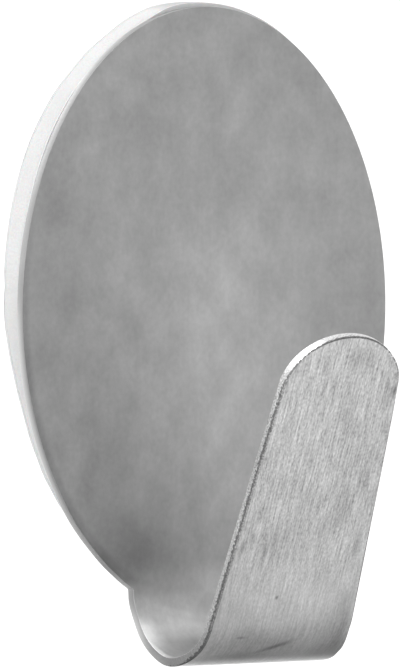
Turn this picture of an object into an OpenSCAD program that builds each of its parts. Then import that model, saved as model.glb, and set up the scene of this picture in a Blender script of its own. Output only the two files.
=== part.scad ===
// Adhesive wall hook. One steel sheet makes an oval plate whose lower end is folded forward and up
// into a J-shaped hook with a tapering, round-ended tongue. A double-sided foam pad sits behind the
// plate, and a release liner covers the pad's rear adhesive until the hook is put up.
// The wall is the plane y = 0, the hook faces -y and +z is up.
// The origin lies on the wall, level with the middle of the plate.

/* [Plate] */
// Width of the oval plate
plate_width = 38; // [30:0.5:46]
// Height of the oval plate, as if its lower end were not folded away
plate_height = 50; // [40:0.5:62]
// Thickness of the steel sheet
sheet_thickness = 0.8; // [0.5:0.1:1.5]

/* [Hook] */
// Width of the strip where it leaves the plate and all through the bend
strip_width = 14.7; // [10:0.1:22]
// How far the strip runs straight on below the oval before it folds
fold_drop = 0.6; // [0.05:0.05:2]
// Inside radius of the bend
bend_radius = 5; // [3:0.25:9]
// Lean of the tongue away from the plate, in degrees from upright
tongue_lean = 21.91; // [5:0.01:40]
// Length of the tongue's straight sides, from the bend to the middle of its rounded end
tongue_length = 21.1; // [12:0.1:30]
// How far each side of the tongue has drawn in where its rounded end starts
tongue_taper = 1.35; // [0.2:0.05:2.5]
// Height of the tongue's rounded end
tip_height = 4.65; // [2.5:0.05:6]

/* [Pad] */
// How far the pad's sides stay inside the plate's sides
pad_side_inset = 0.05; // [0:0.05:3]
// How far the pad's top stands above the plate's top
pad_top_overhang = 0.4; // [0:0.05:1]
// How far the pad's lower end stays above the lowest point of the plate's oval
pad_bottom_gap = 2.25; // [1:0.25:8]
// Thickness of the foam core
foam_thickness = 1.7; // [0.8:0.1:3]
// Thickness of the adhesive film on each side of the foam
adhesive_thickness = 0.1; // [0.05:0.05:0.2]
// Thickness of the release liner
liner_thickness = 0.1; // [0.05:0.05:0.2]

/* [Hidden] */
$fn = 128;

// How far a cutting shape reaches past what it cuts
overrun = 1;

// Rear faces of the layers, one in front of the other, counted from the wall
liner_rear = 0;
wall_adhesive_rear = liner_rear - liner_thickness;
foam_rear = wall_adhesive_rear - adhesive_thickness;
plate_adhesive_rear = foam_rear - foam_thickness;
plate_rear = plate_adhesive_rear - adhesive_thickness;
plate_front = plate_rear - sheet_thickness;

// The pad is an oval set between its two distances from the plate's own top and bottom
pad_width = plate_width - 2 * pad_side_inset;
pad_height = plate_height + pad_top_overhang - pad_bottom_gap;
pad_centre_z = (pad_top_overhang + pad_bottom_gap) / 2;

// The strip leaves the oval where the oval is just as wide as the strip, and folds a little below
strip_root_z = -plate_height / 2 * sqrt(1 - pow(strip_width / plate_width, 2));
fold_z = strip_root_z - fold_drop;
bend_axis_y = plate_front - bend_radius;
bend_angle = 180 - tongue_lean;
tip_half_width = strip_width / 2 - tongue_taper;

// The sheet is folded as a band and trimmed afterwards, so the band is larger all round than the hook
band_width = plate_width + 2 * overrun;
plate_run = plate_height / 2 - fold_z + overrun;
tongue_run = tongue_length + tip_height + overrun;

// A flat oval, width along x and height along y
module oval(width, height) {
    scale([width / 2, height / 2])
        circle(r = 1);
}

// Stands a flat outline upright, with its rear face at y = rear and its thickness towards -y
module upright_sheet(rear, thickness) {
    translate([0, rear, 0])
        rotate([90, 0, 0])
            linear_extrude(height = thickness)
                children();
}

// Puts what it holds about the bend's axis, with z along the axis. At turn 0 x points from the axis
// to the fold line, and a larger turn goes round the bend: down, forward and up again.
module round_the_bend(turn) {
    translate([0, bend_axis_y, fold_z])
        rotate([-90, 0, 90])
            rotate([0, 0, turn])
                children();
}

// Side view of the fold, filled in out to one radius about the bend's axis: a disc at the bend, with
// the plate's flat leaving it at one end of the bend and the tongue's at the other. The flats are
// filled in to a depth of back behind the axis, and run past their ends.
module filled_fold(radius, back, past) {
    circle(r = radius);
    translate([-back, -plate_run - past])
        square([radius + back, plate_run + past]);
    rotate(bend_angle)
        translate([-back, 0])
            square([radius + back, tongue_run + past]);
}

// The sheet folded to its side view, as a plain band: all that lies within one thickness outside the
// inner faces of plate, bend and tongue
module folded_band() {
    round_the_bend(0)
        linear_extrude(height = band_width, center = true)
            difference() {
                filled_fold(bend_radius + sheet_thickness, 0, 0);
                filled_fold(bend_radius, bend_radius, overrun);
            }
}

// What is trimmed off the plate: all but the oval and the strip that runs down out of it
module plate_waste() {
    upright_sheet(plate_rear + overrun, sheet_thickness + 2 * overrun)
        difference() {
            square([band_width + 2 * overrun, 2 * plate_height], center = true);
            oval(plate_width, plate_height);
            translate([-strip_width / 2, -plate_height - overrun])
                square([strip_width, plate_height + overrun]);
        }
}

// What is trimmed off beside the strip, all along the bend and the tongue
module strip_waste() {
    reach = band_width / 2 + overrun - strip_width / 2;
    depth = 2 * plate_height;
    for (side = [-1, 1])
        translate([side * (strip_width + reach) / 2, plate_front - overrun / 2 - depth / 2, 0])
            cube([reach, depth, 2 * plate_height], center = true);
}

// The tongue laid flat: x runs from the bend to the tip, y across
module tongue_outline() {
    polygon([
        [0, -strip_width / 2],
        [tongue_length, -tip_half_width],
        [tongue_length, tip_half_width],
        [0, strip_width / 2]
    ]);
    translate([tongue_length, 0])
        oval(2 * tip_height, 2 * tip_half_width);
}

// What is trimmed off the tongue to give it its taper and its rounded end
module tongue_waste() {
    round_the_bend(bend_angle)
        translate([bend_radius - overrun, 0, 0])
            rotate([90, 0, 90])
                linear_extrude(height = sheet_thickness + 2 * overrun)
                    difference() {
                        translate([0, -strip_width / 2 - overrun])
                            square([tongue_run + overrun, strip_width + 2 * overrun]);
                        tongue_outline();
                    }
}

// The pressed and folded steel sheet: plate, bend and tongue in one piece
module hook_plate() {
    color("silver")
        difference() {
            folded_band();
            plate_waste();
            strip_waste();
            tongue_waste();
        }
}

// One layer of the pad: a strip of that thickness, stamped out by the pad's oval die
module pad_layer(rear, thickness) {
    intersection() {
        upright_sheet(rear, thickness)
            translate([0, pad_centre_z])
                square([pad_width + 2 * overrun, pad_height + 2 * overrun], center = true);
        upright_sheet(rear + overrun, thickness + 2 * overrun)
            translate([0, pad_centre_z])
                oval(pad_width, pad_height);
    }
}

// The adhesive film that holds the foam to the plate
module plate_adhesive() {
    color("ghostwhite")
        pad_layer(plate_adhesive_rear, adhesive_thickness);
}

// The closed-cell foam that lets the pad follow an uneven wall
module foam_core() {
    color("white")
        pad_layer(foam_rear, foam_thickness);
}

// The adhesive film that holds the hook to the wall
module wall_adhesive() {
    color("ghostwhite")
        pad_layer(wall_adhesive_rear, adhesive_thickness);
}

// The coated paper that is pulled off before the hook is pressed to the wall
module release_liner() {
    color("ivory")
        pad_layer(liner_rear, liner_thickness);
}

hook_plate();
plate_adhesive();
foam_core();
wall_adhesive();
release_liner();
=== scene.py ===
# %% [markdown]
# # An adhesive wall hook, dressed in Blender
# The real hook is one pressed sheet of stainless steel on a pad of double-sided foam tape. The sheet
# starts as an oval plate, and its lower end is folded forward and up into a J with a round-ended tongue.
# The construction model has all of that at its real size, so this lesson never moves or resizes anything.
# It gives each piece the edges, the grain and the small faults that a drawing leaves out.

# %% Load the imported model
import math

import bmesh
import bpy
from mathutils import Matrix, Vector


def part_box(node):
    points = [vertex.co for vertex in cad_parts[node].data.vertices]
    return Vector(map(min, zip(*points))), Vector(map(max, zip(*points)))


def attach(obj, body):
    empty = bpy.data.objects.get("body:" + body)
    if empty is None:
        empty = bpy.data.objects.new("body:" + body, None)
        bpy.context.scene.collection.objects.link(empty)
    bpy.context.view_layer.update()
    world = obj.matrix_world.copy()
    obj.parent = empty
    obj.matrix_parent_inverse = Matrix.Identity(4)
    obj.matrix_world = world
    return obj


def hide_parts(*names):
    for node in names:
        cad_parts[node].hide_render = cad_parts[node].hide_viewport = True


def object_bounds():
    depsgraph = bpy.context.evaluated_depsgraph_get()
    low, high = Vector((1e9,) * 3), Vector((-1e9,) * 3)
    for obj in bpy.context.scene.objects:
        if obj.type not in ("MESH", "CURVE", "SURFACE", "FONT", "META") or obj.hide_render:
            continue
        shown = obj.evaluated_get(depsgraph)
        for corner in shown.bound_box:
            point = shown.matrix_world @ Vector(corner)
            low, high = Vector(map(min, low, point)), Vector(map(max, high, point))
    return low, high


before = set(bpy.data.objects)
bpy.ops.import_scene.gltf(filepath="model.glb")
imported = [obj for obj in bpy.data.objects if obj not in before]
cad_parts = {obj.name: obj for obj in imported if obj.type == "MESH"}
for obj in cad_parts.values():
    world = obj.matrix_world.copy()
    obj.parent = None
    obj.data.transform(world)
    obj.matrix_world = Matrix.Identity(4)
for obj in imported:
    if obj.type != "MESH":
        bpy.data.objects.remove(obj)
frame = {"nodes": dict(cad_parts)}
cad_low, cad_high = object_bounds()
MM = 0.001
print("pieces of the packed model:", ", ".join(frame["nodes"]))
print("its size in mm:", [round(side / MM, 2) for side in cad_high - cad_low])

# %% [markdown]
# ## Sizes of the sheet
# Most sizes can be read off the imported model's boxes: how wide and tall the oval is, where its rear face
# lies and how low the fold reaches. What a box can't say, such as the gauge of the sheet and how the fold
# is shaped, is written here as real sizes. Everything later is worked out from these.

# %% Read the plate's sizes and name those of the fold
plate_low, plate_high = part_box("hook_plate")
half_width = min(plate_high.x, -plate_low.x)
half_height = plate_high.z
rear_y = plate_high.y

SHEET = 0.8 * MM
STRIP_WIDTH = 14.7 * MM
BEND_RADIUS = 5 * MM
TONGUE_LEAN = math.radians(21.91)
TONGUE_LENGTH = 21.1 * MM
TONGUE_TAPER = 1.35 * MM
TIP_HEIGHT = 4.65 * MM

front_y = rear_y - SHEET
strip_half = STRIP_WIDTH / 2
root_z = -half_height * math.sqrt(1 - (strip_half / half_width) ** 2)
fold_z = plate_low.z + BEND_RADIUS + SHEET
bend_axis = Vector((0, front_y - BEND_RADIUS, fold_z))
bend_turn = math.pi - TONGUE_LEAN
bend_run = (BEND_RADIUS + SHEET / 2) * bend_turn
print(f"oval {2 * half_width / MM:.1f} by {2 * half_height / MM:.1f} mm, fold at z {fold_z / MM:.2f} mm,",
      f"{bend_run / MM:.1f} mm of sheet in the bend")

# %% [markdown]
# ## The camera
# A product picture of something this small is taken from far off with a long lens, so that the oval
# hardly narrows with distance. The camera stands to the left of the plate and a little above it. It is
# aimed at the point that the middle of the picture falls on, which needs no lens shift.

# %% Set up the long lens
VIEW_TURN = math.radians(37.41)
VIEW_RISE = math.radians(1.99)
VIEW_ROLL = math.radians(0.13)
VIEW_DISTANCE = 1299 * MM
PICTURE_HEIGHT = 55.65 * MM
AIM_LEFT = 0.485 * MM
AIM_DOWN = 2.26 * MM
FAR_END = 30

level_right = Vector((math.cos(VIEW_TURN), -math.sin(VIEW_TURN), 0))
to_camera = Vector((
    -math.sin(VIEW_TURN) * math.cos(VIEW_RISE),
    -math.cos(VIEW_TURN) * math.cos(VIEW_RISE),
    math.sin(VIEW_RISE),
))
level_up = to_camera.cross(level_right)
right = level_right * math.cos(VIEW_ROLL) - level_up * math.sin(VIEW_ROLL)
up = level_right * math.sin(VIEW_ROLL) + level_up * math.cos(VIEW_ROLL)
aim = Vector((0, front_y, 0)) - right * AIM_LEFT - up * AIM_DOWN

lens = bpy.data.cameras.new("long_lens")
lens.lens = lens.sensor_width * VIEW_DISTANCE / PICTURE_HEIGHT
lens.clip_end = FAR_END
camera = bpy.data.objects.new("camera", lens)
bpy.context.collection.objects.link(camera)
turned = Matrix((right, up, to_camera)).transposed().to_4x4()
camera.matrix_world = Matrix.Translation(aim + to_camera * VIEW_DISTANCE) @ turned
bpy.context.scene.camera = camera
print(f"a lens of {lens.lens:.0f} mm at {VIEW_DISTANCE:.2f} m")

# %% [markdown]
# ## Small helpers for node trees
# Every finish below is a tree of nodes, and so is the light of the room. Three things come up again and
# again: adding a node with its settings, taking a value over into another range, and starting a material.
# Each gets a short function here, so that a finish reads like a recipe.

# %% Define the first node helpers
def add_node(tree, kind, options=None, values=None):
    node = tree.nodes.new(kind)
    for name, value in (options or {}).items():
        setattr(node, name, value)
    for name, value in (values or {}).items():
        node.inputs[name].default_value = value
    return node


def spread(tree, value, low, high, start=0.3, end=0.7, smooth=False):
    """Takes a value's range from start to end over to the range from low to high."""
    ranged = add_node(tree, "ShaderNodeMapRange",
                      {"interpolation_type": "SMOOTHSTEP" if smooth else "LINEAR"},
                      {"From Min": start, "From Max": end, "To Min": low, "To Max": high})
    tree.links.new(value, ranged.inputs["Value"])
    return ranged.outputs["Result"]


def new_finish(name, **constants):
    """A material whose shader starts with these constant settings."""
    finish = bpy.data.materials.new(name)
    finish.use_nodes = True
    shader = finish.node_tree.nodes["Principled BSDF"]
    for setting, value in constants.items():
        shader.inputs[setting.replace("_", " ")].default_value = value
    return finish, finish.node_tree, shader


print("first node helpers ready")

# %% [markdown]
# ## The floor
# The floor is one large pale square, a little below the fold. It could be a paper sweep that curves up
# behind the hook, but a flat floor is enough, because the room behind it is just as white.

# %% Lay the floor
FLOOR_GAP = 2.5 * MM
FLOOR_REACH = 6
FLOOR_GREY = 0.93

floor_z = cad_low.z - FLOOR_GAP
floor_mesh = bpy.data.meshes.new("floor")
floor_signs = ((-1, -1), (1, -1), (1, 1), (-1, 1))
floor_corners = [(x * FLOOR_REACH, y * FLOOR_REACH, floor_z) for x, y in floor_signs]
floor_mesh.from_pydata(floor_corners, [], [(0, 1, 2, 3)])
floor = bpy.data.objects.new("floor", floor_mesh)
bpy.context.collection.objects.link(floor)
floor_paint = (FLOOR_GREY, FLOOR_GREY, FLOOR_GREY, 1)
floor_mesh.materials.append(new_finish("pale_floor", Roughness=0.9, Base_Color=floor_paint)[0])
print(f"floor {FLOOR_GAP / MM:.1f} mm below the fold")

# %% [markdown]
# ## The light
# Steel shows its surroundings, so the surroundings do most of the work. One broad soft light hangs
# overhead, and the room is white behind the hook and dimmer in front of it. The plate faces the dim side
# and comes out mid-grey. The tongue leans over, sees the floor and comes out lighter. A single lamp near
# the hook would give a hard glint instead.

# %% Light the room
DIM_SIDE = 0.3
WHITE_SIDE = 1.0
WHITE_DIRECTION = (-0.25, 0.6, 0.75)
DIM_UP_TO = -0.45
WHITE_FROM = 0.4
OVERHEAD = 1.5
OVERHEAD_SPREAD = math.radians(55)
OVERHEAD_TILT = (math.radians(-6), math.radians(-24), 0)

room = bpy.data.worlds.new("studio")
room.use_nodes = True
bpy.context.scene.world = room
tree = room.node_tree
backdrop = tree.nodes["Background"]
direction = add_node(tree, "ShaderNodeTexCoord").outputs["Generated"]
facing = add_node(tree, "ShaderNodeVectorMath", {"operation": "DOT_PRODUCT"})
facing.inputs[1].default_value = WHITE_DIRECTION
tree.links.new(direction, facing.inputs[0])
level = spread(tree, facing.outputs["Value"], DIM_SIDE, WHITE_SIDE, DIM_UP_TO, WHITE_FROM, smooth=True)
tree.links.new(level, backdrop.inputs["Strength"])
backdrop.inputs["Color"].default_value = (1, 1, 1, 1)

lamp = bpy.data.lights.new("overhead", "SUN")
lamp.energy = OVERHEAD
lamp.angle = OVERHEAD_SPREAD
overhead = bpy.data.objects.new("overhead", lamp)
overhead.rotation_euler = OVERHEAD_TILT
bpy.context.collection.objects.link(overhead)
bpy.context.scene.view_settings.view_transform = "Standard"
print("room lit from", WHITE_SIDE, "behind down to", DIM_SIDE, "in front")

# %% [markdown]
# ## The sheet, first laid flat
# A press cuts the blank flat and folds it afterwards, and the mesh is made in the same order. Each point
# is first a place on the flat blank: x across, run along it, and depth into the sheet. One function then
# carries it round the fold. The grain can use the flat places too, so it follows the metal round the bend
# the way a real brushed sheet does.

# %% Carry a flat place round the fold
def turn_at(run):
    """How far the bend has turned the sheet, at this run past the fold line."""
    return min(max(run / bend_run, 0), 1) * bend_turn


def outward_at(run):
    """The way the sheet's rear side faces there."""
    return Vector((0, math.cos(turn_at(run)), -math.sin(turn_at(run))))


def onward_at(run):
    """The way the sheet runs on there, towards the tip."""
    return Vector((0, -math.sin(turn_at(run)), -math.cos(turn_at(run))))


def folded(x, run, depth):
    straight = run if run < 0 else max(run - bend_run, 0)
    return (Vector((x, 0, 0)) + bend_axis + outward_at(run) * (BEND_RADIUS + depth)
            + onward_at(run) * straight)


tip_run = bend_run + TONGUE_LENGTH + TIP_HEIGHT
print("the tip comes out at", [round(c / MM, 2) for c in folded(0, tip_run, SHEET)], "mm")

# %% [markdown]
# ## The outline of the blank
# The outline has three kinds of curve: the oval, a small eased corner where the strip leaves it, and the
# round end of the tongue. A curve object could hold them, but a function for each one can also say which
# way the cut edge faces, and the edge is rounded by that later.

# %% Describe the curves of the outline
tip_half = strip_half - TONGUE_TAPER


def oval_station(angle):
    """Angle 0 is the top of the oval, and it grows clockwise."""
    place = Vector((half_width * math.sin(angle), fold_z - half_height * math.cos(angle)))
    side = Vector((half_height * math.sin(angle), -half_width * math.cos(angle))).normalized()
    return place, side


def eased_station(share, before, corner, after):
    """A point of the curve that eases the inner corner between the oval and the strip."""
    place = before * (1 - share) ** 2 + corner * 2 * share * (1 - share) + after * share ** 2
    ahead = (corner - before) * (1 - share) + (after - corner) * share
    return place, Vector((ahead.y, -ahead.x)).normalized()


def tip_station(angle):
    """Angle 0 is where the round end starts, and a quarter turn is the tip."""
    place = Vector((tip_half * math.cos(angle), bend_run + TONGUE_LENGTH + TIP_HEIGHT * math.sin(angle)))
    side = Vector((TIP_HEIGHT * math.cos(angle), tip_half * math.sin(angle))).normalized()
    return place, side


print(f"the tongue narrows from {2 * strip_half / MM:.1f} to {2 * tip_half / MM:.1f} mm,",
      "and then its round end starts")

# %% [markdown]
# The right half of the outline is now a list of stations from the top of the oval down to the tip: the
# oval, the eased corner, the strip through the bend, the tapering tongue and its round end. The left half
# is the same list seen in a mirror.

# %% List the stations down the right side
OVAL_STATIONS = 96
EASE_STATIONS = 6
BEND_STATIONS = 56
TONGUE_STATIONS = 20
TIP_STATIONS = 32
CORNER_EASE = 0.35 * MM

root_angle = math.pi - math.asin(strip_half / half_width)
oval_pace = math.hypot(half_width * math.cos(root_angle), half_height * math.sin(root_angle))
eased_angle = root_angle - CORNER_EASE / oval_pace
corner = Vector((strip_half, fold_z - root_z))
strip_start = corner + Vector((0, CORNER_EASE))
square_side = Vector((1, 0))
taper_side = Vector((TONGUE_LENGTH, TONGUE_TAPER)).normalized()

stations = [oval_station(eased_angle * i / OVAL_STATIONS) for i in range(OVAL_STATIONS + 1)]
last_oval = stations[-1][0]
for i in range(1, EASE_STATIONS + 1):
    stations.append(eased_station(i / EASE_STATIONS, last_oval, corner, strip_start))
for i in range(1, BEND_STATIONS):
    run = strip_start.y + (bend_run - strip_start.y) * i / BEND_STATIONS
    stations.append((Vector((strip_half, run)), square_side))
for i in range(TONGUE_STATIONS):
    x = strip_half - TONGUE_TAPER * i / TONGUE_STATIONS
    run = bend_run + TONGUE_LENGTH * i / TONGUE_STATIONS
    stations.append((Vector((x, run)), taper_side))
stations += [tip_station(math.pi / 2 * i / TIP_STATIONS) for i in range(TIP_STATIONS + 1)]
print(len(stations), "stations from the top of the oval to the tip")

# %% [markdown]
# ## The cut edge
# A press leaves two different edges on a sheet. The side that lies on the die is crisp. The other side is
# drawn in a little and rounded before the metal shears. On this hook the rounded side is the one that
# shows on the tongue, and its dark line beside the brushed face is painted shade. The outline strays from
# the drawing too: the shoulders above the fold are a little full, and folding has squeezed the strip wider
# in the bend. A short table for each hand says how far it strays and how round the drawn side is.

# %% Say how the edge changes along the sheet
LEFT_EDGE = (
    # run past the fold line, how far out the edge strays, how round its drawn side is
    (-9 * MM, 0, 0.07 * MM),
    (-6 * MM, 0.11 * MM, 0.07 * MM),
    (-4 * MM, 0.1 * MM, 0.07 * MM),
    (-2 * MM, 0.18 * MM, 0.07 * MM),
    (-0.8 * MM, 0.28 * MM, 0.07 * MM),
    (0.2 * MM, 0.24 * MM, 0.07 * MM),
    (2.5 * MM, 0, 0.07 * MM),
    (5.5 * MM, 0, 0.07 * MM),
    (9 * MM, 0.32 * MM, 0.07 * MM),
    (13 * MM, 0, 0.12 * MM),
    (tip_run, 0, 0.14 * MM),
)
RIGHT_EDGE = (
    (-9 * MM, 0, 0.07 * MM),
    (-0.8 * MM, 0.28 * MM, 0.07 * MM),
    (2.5 * MM, 0, 0.07 * MM),
    (5.5 * MM, 0, 0.07 * MM),
    (8.5 * MM, 0.55 * MM, 0.07 * MM),
    (10.2 * MM, 0.55 * MM, 0.07 * MM),
    (11.5 * MM, 0.36 * MM, 0.1 * MM),
    (14.3 * MM, 0, 0.15 * MM),
    (bend_run + 6 * MM, 0.08 * MM, 0.25 * MM),
    (bend_run + 18 * MM, 0.13 * MM, 0.25 * MM),
    (bend_run + TONGUE_LENGTH + 1 * MM, 0.06 * MM, 0.25 * MM),
    (bend_run + TONGUE_LENGTH + 3 * MM, -0.04 * MM, 0.2 * MM),
    (tip_run, 0, 0.14 * MM),
)


def eased(share):
    """A share from 0 to 1 with a soft start and a soft end."""
    share = min(max(share, 0), 1)
    return share * share * (3 - 2 * share)


def between(stops, run):
    """The values at a run, between the two stops on either side of it."""
    before, after = stops[0], stops[-1]
    for stop in stops:
        if stop[0] <= run:
            before = stop
    for stop in reversed(stops):
        if stop[0] >= run:
            after = stop
    span = after[0] - before[0]
    share = eased((run - before[0]) / span) if span > 0 else 0
    return [low + (high - low) * share for low, high in zip(before[1:], after[1:])]


print("stops down the left edge:", len(LEFT_EDGE), "and down the right edge:", len(RIGHT_EDGE))

# %% [markdown]
# The profile goes from the plate's front side round the edge to its rear side, in rows. It is worked out
# afresh at every station, with the same number of rows each time, so that the rows join up along the sheet.

# %% Draw the profile of the cut edge
CRISP_ROUND = 0.03 * MM
CRISP_STEPS = 2
DRAWN_STEPS = 5
WALL_STEPS = 6
EDGE_ROWS = CRISP_STEPS + WALL_STEPS + DRAWN_STEPS + 1


def edge_profile(stray, drawn_round):
    """Rows of inset, depth and slope: slope 0 faces the front, a quarter turn faces sideways."""
    rows = []
    for step in range(CRISP_STEPS + 1):
        slope = math.pi / 2 * step / CRISP_STEPS
        rows.append((CRISP_ROUND * (1 - math.sin(slope)), CRISP_ROUND * (1 - math.cos(slope)), slope))
    wall = SHEET - CRISP_ROUND - drawn_round
    for step in range(1, WALL_STEPS):
        rows.append((0, CRISP_ROUND + wall * step / WALL_STEPS, math.pi / 2))
    for step in range(DRAWN_STEPS + 1):
        slope = math.pi / 2 * (1 + step / DRAWN_STEPS)
        depth = SHEET - drawn_round * (1 + math.cos(slope))
        rows.append((drawn_round * (1 - math.sin(slope)), depth, slope))
    return [(inset - stray, depth, slope) for inset, depth, slope in rows]


print(EDGE_ROWS, "rows round the edge of the sheet")

# %% [markdown]
# ## Curled edges in the bend
# A strip that is folded round a small radius doesn't stay straight across. Its inside is squeezed and
# spreads sideways, so the two edges curl away from the middle of the bend by a few hundredths of a
# millimetre. That is too little to measure, but steel shows it: the curl catches the overhead light. The
# bright crescent beside it is a painted highlight, set by marks on the satin side.

# %% Work out the curl
CURL_DEPTH = 0.05 * MM
CURL_REACH = 2.2 * MM
CURL_SETS_IN = bend_run / 4


def curl_at(x, run):
    """How far the inside of the bend has curled away at a place, and how steeply it does so sideways."""
    depth = CURL_DEPTH * eased(run / CURL_SETS_IN) * eased((bend_run - run) / CURL_SETS_IN)
    near_edge = max(abs(x) - (strip_half - CURL_REACH), 0) / CURL_REACH
    return depth * near_edge ** 2, depth * 2 * near_edge / CURL_REACH


print(f"curl at the edge: {curl_at(strip_half, bend_run / 2)[0] / MM:.2f} mm")

# %% [markdown]
# ## From stations to a mesh
# The mesh needs the edge profile down both sides, and a row of points across each face at every station.
# A bevel modifier could round the edges, but it would spoil the even rows in the bend. Here the rounding
# is built in. Because the shape is known exactly, each point is given its true normal too, so the flats
# stay flat and the bend is smooth.

# %% Collect points and faces
FRONT_SIDE = 0
REAR_SIDE = 1
CUT_EDGE = 2


class Sheet:
    """Collects the points of the flat blank, each with its place, depth and normal."""

    def __init__(self):
        self.points = []
        self.normals = []
        self.flat = []
        self.faces = []
        self.sides = []

    def point(self, x, run, depth, normal):
        curl = curl_at(x, run)[0] * (1 - depth / SHEET)
        self.points.append(folded(x, run, depth + curl))
        self.normals.append(normal)
        self.flat.append((x, run, depth))
        return len(self.points) - 1

    def edge_points(self, station, hand):
        place, side = station
        stops = RIGHT_EDGE if hand > 0 else LEFT_EDGE
        edge = []
        for inset, depth, slope in edge_profile(*between(stops, place.y)):
            x, run = place - side * inset
            sideways = Vector((hand * side.x, 0, 0)) + onward_at(run) * side.y
            normal = sideways * math.sin(slope) - outward_at(run) * math.cos(slope)
            edge.append(self.point(hand * x, run, depth, normal))
        return edge

    def face(self, corners, side):
        distinct = list(dict.fromkeys(corners))
        if len(distinct) > 2:
            self.faces.append(distinct)
            self.sides.append(side)


sheet = Sheet()
last = len(stations) - 1
edge_right = [sheet.edge_points(station, 1) for station in stations]
edge_left = [sheet.edge_points(station, -1) for station in stations[1:last]]
edge_left = [edge_right[0], *edge_left, edge_right[last]]
print(len(sheet.points), "points down both edges")

# %% [markdown]
# The edge is closed first, with a band of faces from each station to the next. The tiny crisp rounding
# counts as part of the front side, because it has the same finish.

# %% Close the cut edge
for edge in (edge_right, edge_left):
    for i in range(last):
        for k in range(EDGE_ROWS - 1):
            side = FRONT_SIDE if k < CRISP_STEPS else CUT_EDGE
            sheet.face((edge[i][k], edge[i][k + 1], edge[i + 1][k + 1], edge[i + 1][k]), side)
print(len(sheet.faces), "faces round the edge")

# %% [markdown]
# Then the two sides are filled in with rows from the left edge to the right one. The points crowd together
# near the edges, where the curl needs them.

# %% Fill in the two sides
ACROSS = 16


def face_normal(side, x, run):
    if side == REAR_SIDE:
        return outward_at(run)
    sideways = Vector((math.copysign(curl_at(x, run)[1], x), 0, 0))
    return (sideways - outward_at(run)).normalized()


shares_across = [(1 - math.cos(math.pi * j / ACROSS)) / 2 for j in range(1, ACROSS)]
for side, edge_row in ((FRONT_SIDE, 0), (REAR_SIDE, EDGE_ROWS - 1)):
    rows = []
    for i in range(last + 1):
        left_end, right_end = edge_left[i][edge_row], edge_right[i][edge_row]
        if left_end == right_end:
            rows.append([left_end] * (ACROSS + 1))
            continue
        left_place, right_place = Vector(sheet.flat[left_end]), Vector(sheet.flat[right_end])
        inner = []
        for share in shares_across:
            x, run, depth = left_place.lerp(right_place, share)
            inner.append(sheet.point(x, run, depth, face_normal(side, x, run)))
        rows.append([left_end, *inner, right_end])
    for i in range(last):
        for j in range(ACROSS):
            sheet.face((rows[i][j], rows[i][j + 1], rows[i + 1][j + 1], rows[i + 1][j]), side)

print(len(sheet.points), "points and", len(sheet.faces), "faces in the sheet")

# %% [markdown]
# ## Brushed steel, twice
# The two sides of the sheet don't look alike. The side that shows on the plate has a fine satin finish,
# soft and a little cloudy. The side that shows on the tongue has coarse brush lines along its length, and
# it has been handled. Both are metal with a grain that is laid out on the flat blank, much longer than
# wide. An image of brushed steel would be quicker, but it would show where it repeats.

# %% Lay the grain on the flat blank
FLAT_SPAN = 100 * MM


def flat_places(tree):
    """Places on the flat blank, in units of FLAT_SPAN."""
    return add_node(tree, "ShaderNodeUVMap", {"uv_map": "flat"}).outputs["UV"]


def along_the_grain(tree, shader):
    tangent = add_node(tree, "ShaderNodeTangent", {"direction_type": "UV_MAP", "uv_map": "flat"})
    tree.links.new(tangent.outputs["Tangent"], shader.inputs["Tangent"])


def spots(length, width):
    """The stretch that gives a grain spots of this length and width on the flat blank."""
    return (FLAT_SPAN / width, FLAT_SPAN / length, 1)


def grain(tree, places, stretch, detail=2, roughness=0.5):
    """Noise whose spots are as long as 1 / stretch along each axis of the places."""
    mapped = add_node(tree, "ShaderNodeMapping", values={"Scale": stretch})
    tree.links.new(places, mapped.inputs["Vector"])
    noise = add_node(tree, "ShaderNodeTexNoise", {"noise_dimensions": "3D"},
                     {"Scale": 1, "Detail": detail, "Roughness": roughness})
    tree.links.new(mapped.outputs["Vector"], noise.inputs["Vector"])
    return noise.outputs["Fac"]


print(f"grain laid out on {FLAT_SPAN / MM:.0f} mm of flat sheet")

# %% [markdown]
# Grains of several sizes are multiplied or added into one tone, and the tone can also follow a value that
# the mesh stores. A mark is a soft oval spot on the flat blank that makes the tone darker or lighter. It
# could be painted on an image, but as a few numbers it stays sharp at any size and is easy to move.

# %% Mix grains, stored values and marks
def combine(tree, operation, *values):
    """Joins the values one after another with an operation such as ADD or MULTIPLY."""
    result = values[0]
    for value in values[1:]:
        joined = add_node(tree, "ShaderNodeMath", {"operation": operation})
        tree.links.new(result, joined.inputs[0])
        tree.links.new(value, joined.inputs[1])
        result = joined.outputs["Value"]
    return result


def stored(tree, name):
    """A value that the mesh keeps at each of its points."""
    return add_node(tree, "ShaderNodeAttribute", {"attribute_name": name}).outputs["Fac"]


def mark(tree, flat, across, run, length, width, turn, darkness):
    """1 off the mark, and 1 - darkness in its middle. Sizes are in mm, from the middle to the rim."""
    spot = add_node(tree, "ShaderNodeMapping", {"vector_type": "TEXTURE"}, {
        "Location": (across * MM / FLAT_SPAN, run * MM / FLAT_SPAN, 0),
        "Rotation": (0, 0, math.radians(turn)),
        "Scale": (width * MM / FLAT_SPAN, length * MM / FLAT_SPAN, 1),
    })
    tree.links.new(flat, spot.inputs["Vector"])
    distance = add_node(tree, "ShaderNodeVectorMath", {"operation": "LENGTH"})
    tree.links.new(spot.outputs["Vector"], distance.inputs[0])
    return spread(tree, distance.outputs["Value"], 1 - darkness, 1, 0, 1, smooth=True)


def roughen(tree, shader, height, relief):
    """Lets a height from 0 to 1, which stands for so much relief, tilt the shader's normal."""
    bump = add_node(tree, "ShaderNodeBump", values={"Strength": 1, "Distance": relief})
    tree.links.new(height, bump.inputs["Height"])
    tree.links.new(bump.outputs["Normal"], shader.inputs["Normal"])


print("helpers for grain and marks ready")
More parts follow.
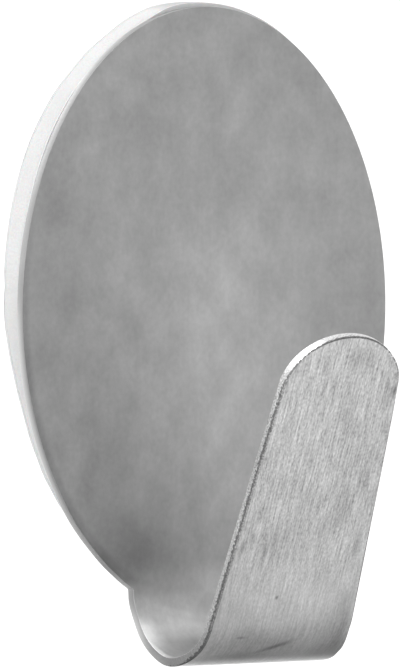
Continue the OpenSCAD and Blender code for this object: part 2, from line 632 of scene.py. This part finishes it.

# %% [markdown]
# ## Painted shade on the rim
# The rim of the plate is painted darker at the lower left, as shade: a soft dark seam beside the edge,
# where the plate reflects the dark back of the tongue. A distance from the middle of the oval finds the
# rim, and a direction keeps the seam to that one side.

# %% Paint shade on the lower left rim
RIM_SHADE_SPAN = (0.955, 0.99)
RIM_SHADE_DEPTH = 0.2
CORNER_SHADE_SPAN = (0.992, 0.999)
CORNER_SHADE_DEPTH = 0.08
LOWER_LEFT = (-0.7, 0.7, 0)
LOWER_LEFT_RANGE = (0.35, 0.75)
FOLD_RANGE = (0.89, 0.925)


def painted_rim_shade(tree, flat):
    """1 on the sheet, falling as painted shade along the plate's lower left rim. Ranges are shares of the
    oval's radius.
    """
    oval = add_node(tree, "ShaderNodeMapping", {"vector_type": "TEXTURE"}, {
        "Location": (0, fold_z / FLAT_SPAN, 0),
        "Scale": (half_width / FLAT_SPAN, half_height / FLAT_SPAN, 1),
    })
    tree.links.new(flat, oval.inputs["Vector"])
    outwards = add_node(tree, "ShaderNodeVectorMath", {"operation": "LENGTH"})
    tree.links.new(oval.outputs["Vector"], outwards.inputs[0])
    lower_left = add_node(tree, "ShaderNodeVectorMath", {"operation": "DOT_PRODUCT"})
    lower_left.inputs[1].default_value = LOWER_LEFT
    tree.links.new(oval.outputs["Vector"], lower_left.inputs[0])
    downwards = add_node(tree, "ShaderNodeSeparateXYZ")
    tree.links.new(oval.outputs["Vector"], downwards.inputs["Vector"])
    near_rim = spread(tree, outwards.outputs["Value"], 0, RIM_SHADE_DEPTH, *RIM_SHADE_SPAN, smooth=True)
    at_corner = spread(tree, outwards.outputs["Value"], 0, CORNER_SHADE_DEPTH, *CORNER_SHADE_SPAN)
    on_that_side = spread(tree, lower_left.outputs["Value"], 0, 1, *LOWER_LEFT_RANGE, smooth=True)
    above_fold = spread(tree, downwards.outputs["Y"], 1, 0, *FOLD_RANGE, smooth=True)
    there = combine(tree, "MULTIPLY", on_that_side, above_fold)
    shaded = combine(tree, "MULTIPLY", combine(tree, "ADD", near_rim, at_corner), there)
    return spread(tree, shaded, 1, 0, 0, 1)


# how deep the rim's painted shade goes
print(f"rim dulled by up to {RIM_SHADE_DEPTH + CORNER_SHADE_DEPTH:.2f}")

# %% [markdown]
# ## The satin side
# The satin side is cloudy at several sizes, from broad polishing clouds down to a fine frost, and only
# faintly lined. A painted highlight brightens the inside of the bend and the tongue's back. Marks on the
# flat blank paint reflection, shade and highlights on the plate and in the bend, and one faint streak.

# %% Make the satin side
SATIN_MARKS_AND_PAINTED_LIGHT = (
    # across, run past the fold line, length, width, turn in degrees, darkness (below 0 it is lighter)
    # painted reflection and shade on the plate: lighter in the middle and at the left, darker low at the
    # left, at the right and up the left edge, lighter near the top
    (0.0, -19.5, 18.5, 15.5, 0, -0.34),
    (-12.6, -18.9, 4.5, 3.5, 0, -0.14),
    (-8.0, -2.8, 5.0, 6.0, 0, 0.26),
    (17.0, -21.5, 7.0, 3.0, 0, 0.13),
    (-16.5, -32.5, 9.0, 4.0, 0, 0.12),
    (4.6, -39.7, 6.0, 6.0, 0, -0.1),
    # painted highlights: the crescent inside the bend and the thin line below it; a faint streak, and a
    # lighter patch that paints out shade beside the tongue
    (-7.3, 4.2, 3.0, 2.1, 0, -0.75),
    (-7.35, 6.7, 2.6, 0.6, 0, -1.2),
    (-3.5, 1.7, 0.5, 4.0, 14.5, -0.06),
    (0.6, 1.2, 4.0, 2.0, 0, -0.1),
)
# painted highlight on the satin side: it lightens the inside of the bend and the tongue's back, which the
# plate reflects
INNER_HIGHLIGHT_STOPS = (
    # run past the fold line, brightness
    (-3 * MM, 1), (-0.5 * MM, 1.3), (0.8 * MM, 1.55), (1.5 * MM, 1.58), (3 * MM, 1.47), (4 * MM, 1.2),
    (5 * MM, 1.02), (7.5 * MM, 1.15), (bend_run, 1.75),
)
SATIN_RELIEF = 0.001 * MM


def satin_steel():
    finish, tree, shader = new_finish("satin_steel", Metallic=1, Anisotropic=0.3)
    flat = flat_places(tree)
    along_the_grain(tree, shader)
    clouds = grain(tree, flat, spots(13 * MM, 8 * MM), detail=3)
    blooms = grain(tree, flat, spots(3.4 * MM, 2.6 * MM), detail=3)
    frost = grain(tree, flat, spots(0.6 * MM, 0.5 * MM), detail=3, roughness=0.6)
    lines = grain(tree, flat, spots(5 * MM, 0.3 * MM), detail=2)
    tone = combine(tree, "MULTIPLY", spread(tree, clouds, 0.395, 0.455), spread(tree, blooms, 0.9, 1.1),
                   spread(tree, frost, 0.945, 1.055), spread(tree, lines, 0.985, 1.015),
                   # painted highlight inside the bend, and painted shade on the lower left rim
                   stored(tree, "inner_highlight"), painted_rim_shade(tree, flat),
                   *[mark(tree, flat, *satin_spot) for satin_spot in SATIN_MARKS_AND_PAINTED_LIGHT])
    tree.links.new(tone, shader.inputs["Base Color"])
    dullness = combine(tree, "ADD", spread(tree, blooms, 0.46, 0.52), spread(tree, lines, -0.02, 0.02))
    tree.links.new(dullness, shader.inputs["Roughness"])
    roughen(tree, shader, combine(tree, "ADD", lines, frost), SATIN_RELIEF)
    return finish


satin = satin_steel()
print("satin side:", len(satin.node_tree.nodes), "nodes and", len(SATIN_MARKS_AND_PAINTED_LIGHT), "marks")

# %% [markdown]
# ## The brushed side
# The coarse side has three widths of brush line, from ones that can be counted to a fine rustle between
# them. They fade towards the bend. Its marks are darker and lighter spots on the tongue, a dot of dirt, two
# short dark scratches, and painted reflection and shade on the bend, each at a place of its own.

# %% Make the brushed side
BRUSHED_MARKS_AND_PAINTED_LIGHT = (
    # across, run past the bend, length, width, turn in degrees, darkness (below 0 it is lighter)
    # darker spots round the tip
    (5.5, 22.2, 0.6, 0.4, 0, 0.42),
    (4.85, 21.2, 0.8, 0.5, 0, 0.3),
    (5.75, 20.8, 1.0, 0.55, 0, 0.55),
    (5.2, 20.0, 1.9, 0.9, 0, 0.22),
    (3.9, 22.4, 0.6, 0.3, 0, 0.25),
    (1.4, 23.7, 1.6, 2.2, 0, 0.24),
    (1.5, 19.1, 3.4, 1.8, 0, 0.1),
    # darker and lighter spots down the tongue
    (4.0, 14.0, 9.0, 5.0, 0, 0.08),
    (3.3, 10.7, 3.0, 1.5, 0, 0.15),
    (2.0, 8.6, 1.4, 3.4, 12, 0.1),
    (3.9, 7.3, 3.0, 1.8, 0, -0.22),
    (-2.9, 7.6, 1.5, 2.2, 20, 0.14),
    (-6.2, 7.0, 1.0, 0.5, 0, 0.34),
    (5.8, 7.1, 2.0, 0.6, 0, 0.28),
    # painted reflection and shade on the bend: light bands, dark patches at the lower right and a bright
    # band along its bottom
    (0.0, 2.3, 5.0, 9.0, 0, -0.22),
    (7.9, 0.3, 5.0, 1.6, 0, -1.1),
    (8.0, -2.0, 6.5, 5.0, 0, 0.54),
    (7.0, -4.0, 3.0, 6.0, 0, 0.38),
    (-2.5, -3.5, 1.1, 5.0, 0, 0.26),
    (0.0, -5.7, 2.1, 40.0, 0, -1.25),
    # a dot of dirt and two scratches
    (-1.3, 2.3, 0.3, 0.3, 0, 0.6),
    (0.3, -2.35, 0.42, 2.6, 21, 0.5),
    (-3.9, -1.25, 0.2, 0.8, 0, 0.3),
)
BRUSHING_STOPS = (
    # run past the fold line, depth of the brush lines
    (bend_run - 5 * MM, 0.42), (bend_run + 1 * MM, 0.5), (bend_run + 7 * MM, 0.9), (bend_run + 12 * MM, 1),
)
BRUSH_RELIEF = 0.004 * MM


def brushed_steel():
    finish, tree, shader = new_finish("brushed_steel", Metallic=1, Anisotropic=0.4)
    flat = flat_places(tree)
    along_the_grain(tree, shader)
    brushing = stored(tree, "brushing")
    broad = grain(tree, flat, spots(5 * MM, 0.4 * MM), detail=2)
    lines = grain(tree, flat, spots(2.2 * MM, 0.17 * MM), detail=2, roughness=0.6)
    rustle = grain(tree, flat, spots(0.3 * MM, 0.15 * MM), detail=2, roughness=0.6)
    clouds = grain(tree, flat, spots(3 * MM, 2.4 * MM), detail=3)
    strokes = combine(tree, "ADD", spread(tree, lines, -0.29, 0.29), spread(tree, rustle, -0.25, 0.25),
                      spread(tree, broad, -0.1, 0.1))
    strokes = combine(tree, "MULTIPLY", strokes, brushing)
    brushed_marks_and_light = [mark(tree, flat, across, bend_run / MM + past_bend, *brushed_spot)
            for across, past_bend, *brushed_spot in BRUSHED_MARKS_AND_PAINTED_LIGHT]
    tone = combine(tree, "MULTIPLY", spread(tree, strokes, 0, 0.9, -1, 1),
                   spread(tree, clouds, 0.92, 1.08), *brushed_marks_and_light)
    tree.links.new(tone, shader.inputs["Base Color"])
    dullness = combine(tree, "ADD", spread(tree, lines, 0.3, 0.4), spread(tree, clouds, -0.03, 0.03))
    tree.links.new(dullness, shader.inputs["Roughness"])
    height = combine(tree, "MULTIPLY", combine(tree, "ADD", lines, rustle), brushing)
    roughen(tree, shader, height, BRUSH_RELIEF)
    return finish


brushed = brushed_steel()
print("brushed side:", len(brushed.node_tree.nodes), "nodes and", len(BRUSHED_MARKS_AND_PAINTED_LIGHT), "marks")

# %% [markdown]
# ## The sheared edge
# The edge of a stamped sheet is bright where the metal broke, and dull where it was drawn over the die.
# Its brightness along the sheet is partly painted shade and highlight: darkest along the plate's lower rim
# and the bend, lighter on the tongue and its tip. The tongue has the sparkle of tiny facets, and its drawn
# zone is a painted dark line of shade. A table says so for some stops, and the mesh stores the values at
# every point.

# %% Say how bright the edge is along the sheet
EDGE_TONE_AND_SHADE_STOPS = (
    # run past the fold line, brightness in front and at the rear, reach of the drawn zone, sparkle
    # painted shade and highlight: the brightness columns and the reach of the dark drawn line follow the
    # run
    (-48.5 * MM, 0.5, 0.5, 0, 0.1),
    (-47.5 * MM, 0.36, 0.42, 0, 0.1),
    (-45.3 * MM, 0.34, 0.64, 0, 0.1),
    (-41 * MM, 0.38, 0.82, 0, 0.1),
    (-35.5 * MM, 0.41, 0.72, 0, 0.1),
    (-32 * MM, 0.4, 0.58, 0, 0.1),
    (-28.5 * MM, 0.43, 0.52, 0, 0.1),
    (-25.5 * MM, 0.34, 0.46, 0, 0.1),
    (-22 * MM, 0.28, 0.64, 0, 0.1),
    (-15 * MM, 0.23, 0.58, 0, 0.1),
    (-12 * MM, 0.22, 0.54, 0, 0.1),
    (-9 * MM, 0.17, 0.5, 0, 0.1),
    (-6 * MM, 0.23, 0.4, 0, 0.1),
    (-4 * MM, 0.2, 0.34, 0, 0.1),
    (-2 * MM, 0.17, 0.17, 0, 0.1),
    (0, 0.26, 0.34, 0, 0.1),
    (3 * MM, 0.36, 0.6, 0, 0.1),
    (6 * MM, 0.26, 0.34, 0, 0.2),
    (9 * MM, 0.22, 0.21, 0.45, 0.3),
    (12 * MM, 0.24, 0.24, 0.9, 0.5),
    (bend_run + 1 * MM, 0.4, 0.4, 1, 0.8),
    (bend_run + 9 * MM, 0.5, 0.56, 1, 1),
    (bend_run + 17 * MM, 0.5, 0.6, 1, 1),
    (bend_run + TONGUE_LENGTH, 0.62, 0.75, 0.88, 1),
    (bend_run + TONGUE_LENGTH + 3 * MM, 0.9, 0.95, 0.5, 0.6),
    (tip_run, 0.76, 0.68, 0.7, 0.6),
)
DRAWN_SHIFT = 0.7


def edge_at(run, depth):
    """Brightness of the edge with painted shade, how far the metal was drawn (past about 0.5 it is painted
    dark as shade), and its sparkle.
    """
    front, rear, reach, sparkle = between(EDGE_TONE_AND_SHADE_STOPS, run)
    share = depth / SHEET
    return front + (rear - front) * share, share - DRAWN_SHIFT * (1 - reach), sparkle


print(len(EDGE_TONE_AND_SHADE_STOPS), "stops along the edge")

# %% [markdown]
# The finish reads the stored values. Two fine grains, now in all three directions, give the facets their
# glitter and the painted dark line of shade its ragged border. A ramp across the edge alone would look
# painted on.

# %% Make the sheared edge
FACET = 0.12 * MM
TOOTH = 0.18 * MM
FACET_RELIEF = 0.02 * MM


def own_places(tree):
    """Places in the piece itself, in metres."""
    return add_node(tree, "ShaderNodeTexCoord").outputs["Object"]


def lumps(size):
    """The stretch that gives a grain lumps that are as large every way."""
    return (1 / size, 1 / size, 1 / size)


def sheared_steel():
    finish, tree, shader = new_finish("sheared_steel", Metallic=1)
    places = own_places(tree)
    sparkle = stored(tree, "edge_sparkle")
    facets = grain(tree, places, lumps(FACET), detail=2, roughness=0.7)
    teeth = grain(tree, places, lumps(TOOTH), detail=2, roughness=0.6)
    ragged = combine(tree, "ADD", stored(tree, "drawn_and_shaded"), spread(tree, teeth, -0.17, 0.17))
    drawn_line_shade = combine(tree, "ADD", spread(tree, ragged, 1, 0.3, 0.5, 0.62, smooth=True),
                    spread(tree, ragged, 0, 0.3, 0.78, 1, smooth=True))
    glitter = combine(tree, "MULTIPLY", spread(tree, facets, -0.6, 0.6), sparkle)
    tone = combine(tree, "MULTIPLY", drawn_line_shade, stored(tree, "edge_brightness"),
                   spread(tree, glitter, 0, 2, -1, 1))
    tree.links.new(tone, shader.inputs["Base Color"])
    tree.links.new(spread(tree, facets, 0.32, 0.5), shader.inputs["Roughness"])
    roughen(tree, shader, combine(tree, "MULTIPLY", facets, sparkle), FACET_RELIEF)
    return finish


sheared = sheared_steel()
print("sheared edge:", len(sheared.node_tree.nodes), "nodes")

# %% [markdown]
# ## Putting a piece together
# All pieces go the same way from points and faces to an object: the faces are turned to look outwards,
# shading is smooth, and the piece rides on the body that carries it, in place of its plain solid.

# %% Define how a piece is put together
SHARP_ANGLE = math.radians(50)


def make_piece(name, points, faces, finishes, face_finishes=None):
    mesh = bpy.data.meshes.new(name)
    mesh.from_pydata(points, [], faces)
    for finish in finishes:
        mesh.materials.append(finish)
    if face_finishes:
        mesh.polygons.foreach_set("material_index", face_finishes)
    shell = bmesh.new()
    shell.from_mesh(mesh)
    bmesh.ops.recalc_face_normals(shell, faces=shell.faces)
    shell.to_mesh(mesh)
    shell.free()
    mesh.shade_smooth()
    mesh.set_sharp_from_angle(angle=SHARP_ANGLE)
    piece = bpy.data.objects.new(name, mesh)
    bpy.context.collection.objects.link(piece)
    return piece


def stand_in(piece, node, body):
    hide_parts(node)
    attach(piece, body)
    print(piece.name, "rides on", body, "with", len(piece.data.polygons), "faces")


print(f"edges sharper than {math.degrees(SHARP_ANGLE):.0f} degrees stay sharp")

# %% [markdown]
# ## The steel hook
# The hook gets its three finishes by side. Its flat places become a UV map, which the grain and the marks
# use, and the values of the edge with its painted shade, the painted highlight inside the bend and on the
# tongue's back, and the brushing are stored at its points. The true normals go on last.

# %% Make the steel hook
hook = make_piece("steel_hook", sheet.points, sheet.faces, (satin, brushed, sheared), sheet.sides)
blank = hook.data.uv_layers.new(name="flat")
for loop in hook.data.loops:
    x, run, depth = sheet.flat[loop.vertex_index]
    blank.data[loop.index].uv = (x / FLAT_SPAN, run / FLAT_SPAN)
edge_values = [edge_at(run, depth) for x, run, depth in sheet.flat]
for name, values in zip(("edge_brightness", "drawn_and_shaded", "edge_sparkle"), zip(*edge_values)):
    hook.data.attributes.new(name, "FLOAT", "POINT").data.foreach_set("value", values)
for name, stops in (("inner_highlight", INNER_HIGHLIGHT_STOPS), ("brushing", BRUSHING_STOPS)):
    values = [between(stops, run)[0] for x, run, depth in sheet.flat]
    hook.data.attributes.new(name, "FLOAT", "POINT").data.foreach_set("value", values)
hook.data.normals_split_custom_set_from_vertices(sheet.normals)
stand_in(hook, "hook_plate", "hook")

# %% [markdown]
# ## The pad's cut
# Soft tape gives under the knife, so the pad's outline strays from the oval: it runs nearly straight at
# the lower left and flattens again near the top. A few stops round the pad say by how much. The cut slants
# too, down the left side: there the foam is a little smaller on the plate than on the liner.

# %% Say how the pad's cut strays
PAD_TRIM = (
    # degrees round the pad from its top, clockwise, and how far inwards the cut has strayed, in mm
    (0, -0.04), (20, -0.02), (60, 0.0), (100, 0.1), (150, 0.0), (205, -0.1), (222, -0.24),
    (230, -0.1), (237, 0.1), (246, 0.24), (253, 0.22), (259, 0.11), (266, -0.02), (276, -0.04),
    (300, -0.14), (312, -0.05), (322, 0.12), (333, 0.21), (342, 0.02), (350, -0.1), (360, -0.04),
)
CUT_SLANT = 0.3 * MM
SLANT_STARTS = 3
SLANT_GROWS_OVER = 16

pad_low, pad_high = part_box("foam_core")
pad_half_width = pad_high.x
pad_half_height = (pad_high.z - pad_low.z) / 2
pad_middle_z = (pad_high.z + pad_low.z) / 2
pad_depth = pad_high.y - pad_low.y


def trim_at(angle):
    """How far inwards the cut has strayed at an angle, eased from stop to stop."""
    return between(PAD_TRIM, math.degrees(angle) % 360)[0] * MM


def slant_at(angle, y):
    """How far the cut slants inwards: only down the left side, and most of all at the plate."""
    from_top = -math.degrees(math.remainder(angle, 2 * math.pi))
    towards_plate = min(max((pad_high.y - y) / pad_depth, 0), 1)
    return CUT_SLANT * eased((from_top - SLANT_STARTS) / SLANT_GROWS_OVER) * towards_plate


def wander(angle, waves, size):
    """How far the cut has strayed inwards at an angle, for waves of (count, start) round the pad."""
    stray = sum(math.sin(count * angle + start) for count, start in waves) / len(waves)
    return size * (1 + stray) / 2


print(f"pad {2 * pad_half_width / MM:.1f} by {2 * pad_half_height / MM:.1f} mm,",
      f"{pad_depth / MM:.1f} mm thick")

# %% [markdown]
# ## The pad's layers
# The pad is four layers of nearly the same oval: foam with a film of adhesive on either side, and the
# liner. All come from one function that walks round the oval and up the cut edge, so that they stack
# without gaps. Four squashed cylinders would do for a distant view, but their edges would be too perfect.

# %% Walk round a layer of the pad
ROUND_THE_PAD = 240
FACE_RINGS = 8


def pad_layer(name, rows, finish, inset_at, ripple=None):
    """A layer from rows of inset and y, front to rear. Rings towards the middle close both faces."""
    shares = [ring / FACE_RINGS for ring in range(1, FACE_RINGS)]
    walk = [(share, *rows[0]) for share in shares]
    walk += [(1, inset, y) for inset, y in rows]
    walk += [(share, *rows[-1]) for share in reversed(shares)]
    points = []
    for share, inset, y in walk:
        for step in range(ROUND_THE_PAD):
            angle = 2 * math.pi * step / ROUND_THE_PAD
            drawn_in = inset + inset_at(angle, y)
            x = share * (pad_half_width - drawn_in) * math.sin(angle)
            z = share * (pad_half_height - drawn_in) * math.cos(angle)
            points.append((x, y - (ripple(x, z) if ripple else 0), pad_middle_z + z))
    faces = []
    for ring in range(len(walk) - 1):
        here, there = ring * ROUND_THE_PAD, (ring + 1) * ROUND_THE_PAD
        for step in range(ROUND_THE_PAD):
            after = (step + 1) % ROUND_THE_PAD
            faces.append((here + step, here + after, there + after, there + step))
    for ring in (0, len(walk) - 1):
        faces.append(tuple(range(ring * ROUND_THE_PAD, (ring + 1) * ROUND_THE_PAD)))
    return make_piece(name, points, faces, (finish,))


print(ROUND_THE_PAD, "points round each ring of a layer")

# %% [markdown]
# ## Foam
# The core is white closed-cell foam, cut cold with a die. Its cut side bulges a little between the films,
# and has a small crease where it was pressed. Here the crease is a dent in the outline, and the bulge is a
# curve from film to film, so that both show against the light.

# %% Shape the foam's cut side
FOAM_ROUND = 0.06 * MM
FOAM_BULGE = 0.03 * MM
FOAM_STEPS = 10
FOAM_WANDER = 0.05 * MM
CREASE_ANGLE = math.radians(-88)
CREASE_REACH = math.radians(1.6)
CREASE_DEPTH = 0.12 * MM

foam_waves = ((3, 0.4), (7, 1.9), (16, 0.8))


def foam_inset(angle, y):
    off = math.remainder(angle - CREASE_ANGLE, 2 * math.pi) / CREASE_REACH
    crease = CREASE_DEPTH * math.exp(-off * off)
    return trim_at(angle) + slant_at(angle, y) + wander(angle, foam_waves, FOAM_WANDER) + crease


def foam_rows():
    rows = []
    for step in range(FOAM_STEPS + 1):
        share = step / FOAM_STEPS
        from_edge = min(share, 1 - share) * pad_depth
        near_corner = max(FOAM_ROUND - from_edge, 0)
        rounded = FOAM_ROUND - math.sqrt(FOAM_ROUND ** 2 - near_corner ** 2)
        rows.append((rounded + FOAM_BULGE * (2 * share - 1) ** 2, pad_low.y + pad_depth * share))
    return rows


print(len(foam_rows()), "rows up the foam's cut side")

# %% [markdown]
# The cut side shows the opened cells. Below the crease and towards its top it is painted greyer, as shade.
# Foam scatters light inside itself, so its shader gets a little subsurface light. Plain white paint would
# look like plaster.

# %% Make the foam
FOAM_CELL = 0.22 * MM
CELL_RELIEF = 0.03 * MM
SHADE_BELOW_CREASE_OVER = 0.3 * MM
SHADED_TOP_OVER = 0.8 * MM

crease_z = pad_middle_z + pad_half_height * math.cos(CREASE_ANGLE)


def white_foam():
    finish, tree, shader = new_finish("white_foam", Roughness=0.85, Subsurface_Weight=0.15,
                                      Subsurface_Scale=0.4 * MM, Specular_IOR_Level=0.25)
    places = own_places(tree)
    cells = add_node(tree, "ShaderNodeTexVoronoi", {"feature": "F1"}, {"Scale": 1 / FOAM_CELL})
    tree.links.new(places, cells.inputs["Vector"])
    smudge = grain(tree, places, lumps(3 * MM), detail=2)
    axes = add_node(tree, "ShaderNodeSeparateXYZ")
    tree.links.new(places, axes.inputs["Vector"])
    height = axes.outputs["Z"]
    tone = combine(tree, "MULTIPLY", spread(tree, smudge, 0.665, 0.705),
                   spread(tree, cells.outputs["Distance"], 1.0, 0.94, 0, 1),
                   # painted shade: a trace greyer below the crease and darker towards the top
                   spread(tree, height, 0.955, 1, crease_z - SHADE_BELOW_CREASE_OVER, crease_z),
                   spread(tree, height, 1, 0.72, pad_high.z - SHADED_TOP_OVER, pad_high.z, smooth=True))
    tree.links.new(tone, shader.inputs["Base Color"])
    roughen(tree, shader, cells.outputs["Distance"], CELL_RELIEF)
    return finish


foam = pad_layer("foam_pad", foam_rows(), white_foam(), foam_inset)
stand_in(foam, "foam_core", "hook")

# %% [markdown]
# ## Adhesive films
# On either side of the foam is a film of sticky acrylic, a tenth of a millimetre thick. Only its edge
# shows, a trace greyer and shinier than the foam, and it creeps back from the cut here and there. Both
# films are made alike, so one finish and one loop do for the two.

# %% Make the two films
FILM_ROUND = 0.03 * MM
FILM_WANDER = 0.05 * MM
FILM_RELIEF = 0.02 * MM

film_waves = ((5, 2.1), (11, 0.3), (23, 1.2))


def film_inset(angle, y):
    return foam_inset(angle, y) + wander(angle, film_waves, FILM_WANDER)


def sticky_film():
    finish, tree, shader = new_finish("sticky_film", Specular_IOR_Level=0.5, Subsurface_Weight=0.1,
                                      Subsurface_Scale=0.3 * MM)
    strings = grain(tree, own_places(tree), (1 / (0.9 * MM), 1 / (0.2 * MM), 1 / (0.9 * MM)), detail=3)
    tree.links.new(spread(tree, strings, 0.74, 0.82), shader.inputs["Base Color"])
    tree.links.new(spread(tree, strings, 0.25, 0.5), shader.inputs["Roughness"])
    roughen(tree, shader, strings, FILM_RELIEF)
    return finish


film = sticky_film()
for node, name in (("plate_adhesive", "plate_film"), ("wall_adhesive", "wall_film")):
    film_low, film_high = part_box(node)
    middle_y = (film_low.y + film_high.y) / 2
    film_rows = ((FILM_ROUND, film_low.y), (0, middle_y), (FILM_ROUND, film_high.y))
    stand_in(pad_layer(name, film_rows, film, film_inset), node, "hook")

# %% [markdown]
# ## The release liner
# The liner is the paper that is peeled off before the hook goes up. Its inner side is coated so that it
# lets go of the glue. Its outer side is plain calendered paper with faint fibres and a slight cockle, as
# paper has after lying on a tacky pad. It is a piece of its own because it comes away by itself.

# %% Make the liner
COCKLE = 0.03 * MM
LINER_ROUND = 0.01 * MM
LINER_WANDER = 0.03 * MM
FIBRE_RELIEF = 0.012 * MM

liner_low, liner_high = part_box("release_liner")
liner_waves = ((2, 0.2), (9, 1.1))


def liner_inset(angle, y):
    return foam_inset(angle, y) + wander(angle, liner_waves, LINER_WANDER)


def cockle(x, z):
    """Gentle waves in the paper, always inwards from its outer face."""
    waves = math.sin(x / (2.9 * MM) + 1.3 * math.sin(z / (5 * MM))) * math.sin(z / (4.3 * MM))
    return COCKLE * (1 + waves) / 2


def liner_paper():
    finish, tree, shader = new_finish("liner_paper", Specular_IOR_Level=0.45, Coat_Weight=0.12,
                                      Coat_Roughness=0.3)
    places = own_places(tree)
    fibre_size = (1 / (1.4 * MM), 1 / (0.5 * MM), 1 / (0.25 * MM))
    fibres = grain(tree, places, fibre_size, detail=4, roughness=0.65)
    pulp = grain(tree, places, lumps(2.2 * MM), detail=3)
    tone = combine(tree, "MULTIPLY", spread(tree, pulp, 0.7, 0.75), spread(tree, fibres, 0.96, 1.03))
    tree.links.new(tone, shader.inputs["Base Color"])
    tree.links.new(spread(tree, fibres, 0.42, 0.58), shader.inputs["Roughness"])
    roughen(tree, shader, fibres, FIBRE_RELIEF)
    return finish


paper_middle = (liner_low.y + liner_high.y) / 2
liner_rows = ((LINER_ROUND, liner_low.y + COCKLE), (0, paper_middle), (LINER_ROUND, liner_high.y))
liner = pad_layer("liner_paper", liner_rows, liner_paper(), liner_inset, cockle)
stand_in(liner, "release_liner", "liner")
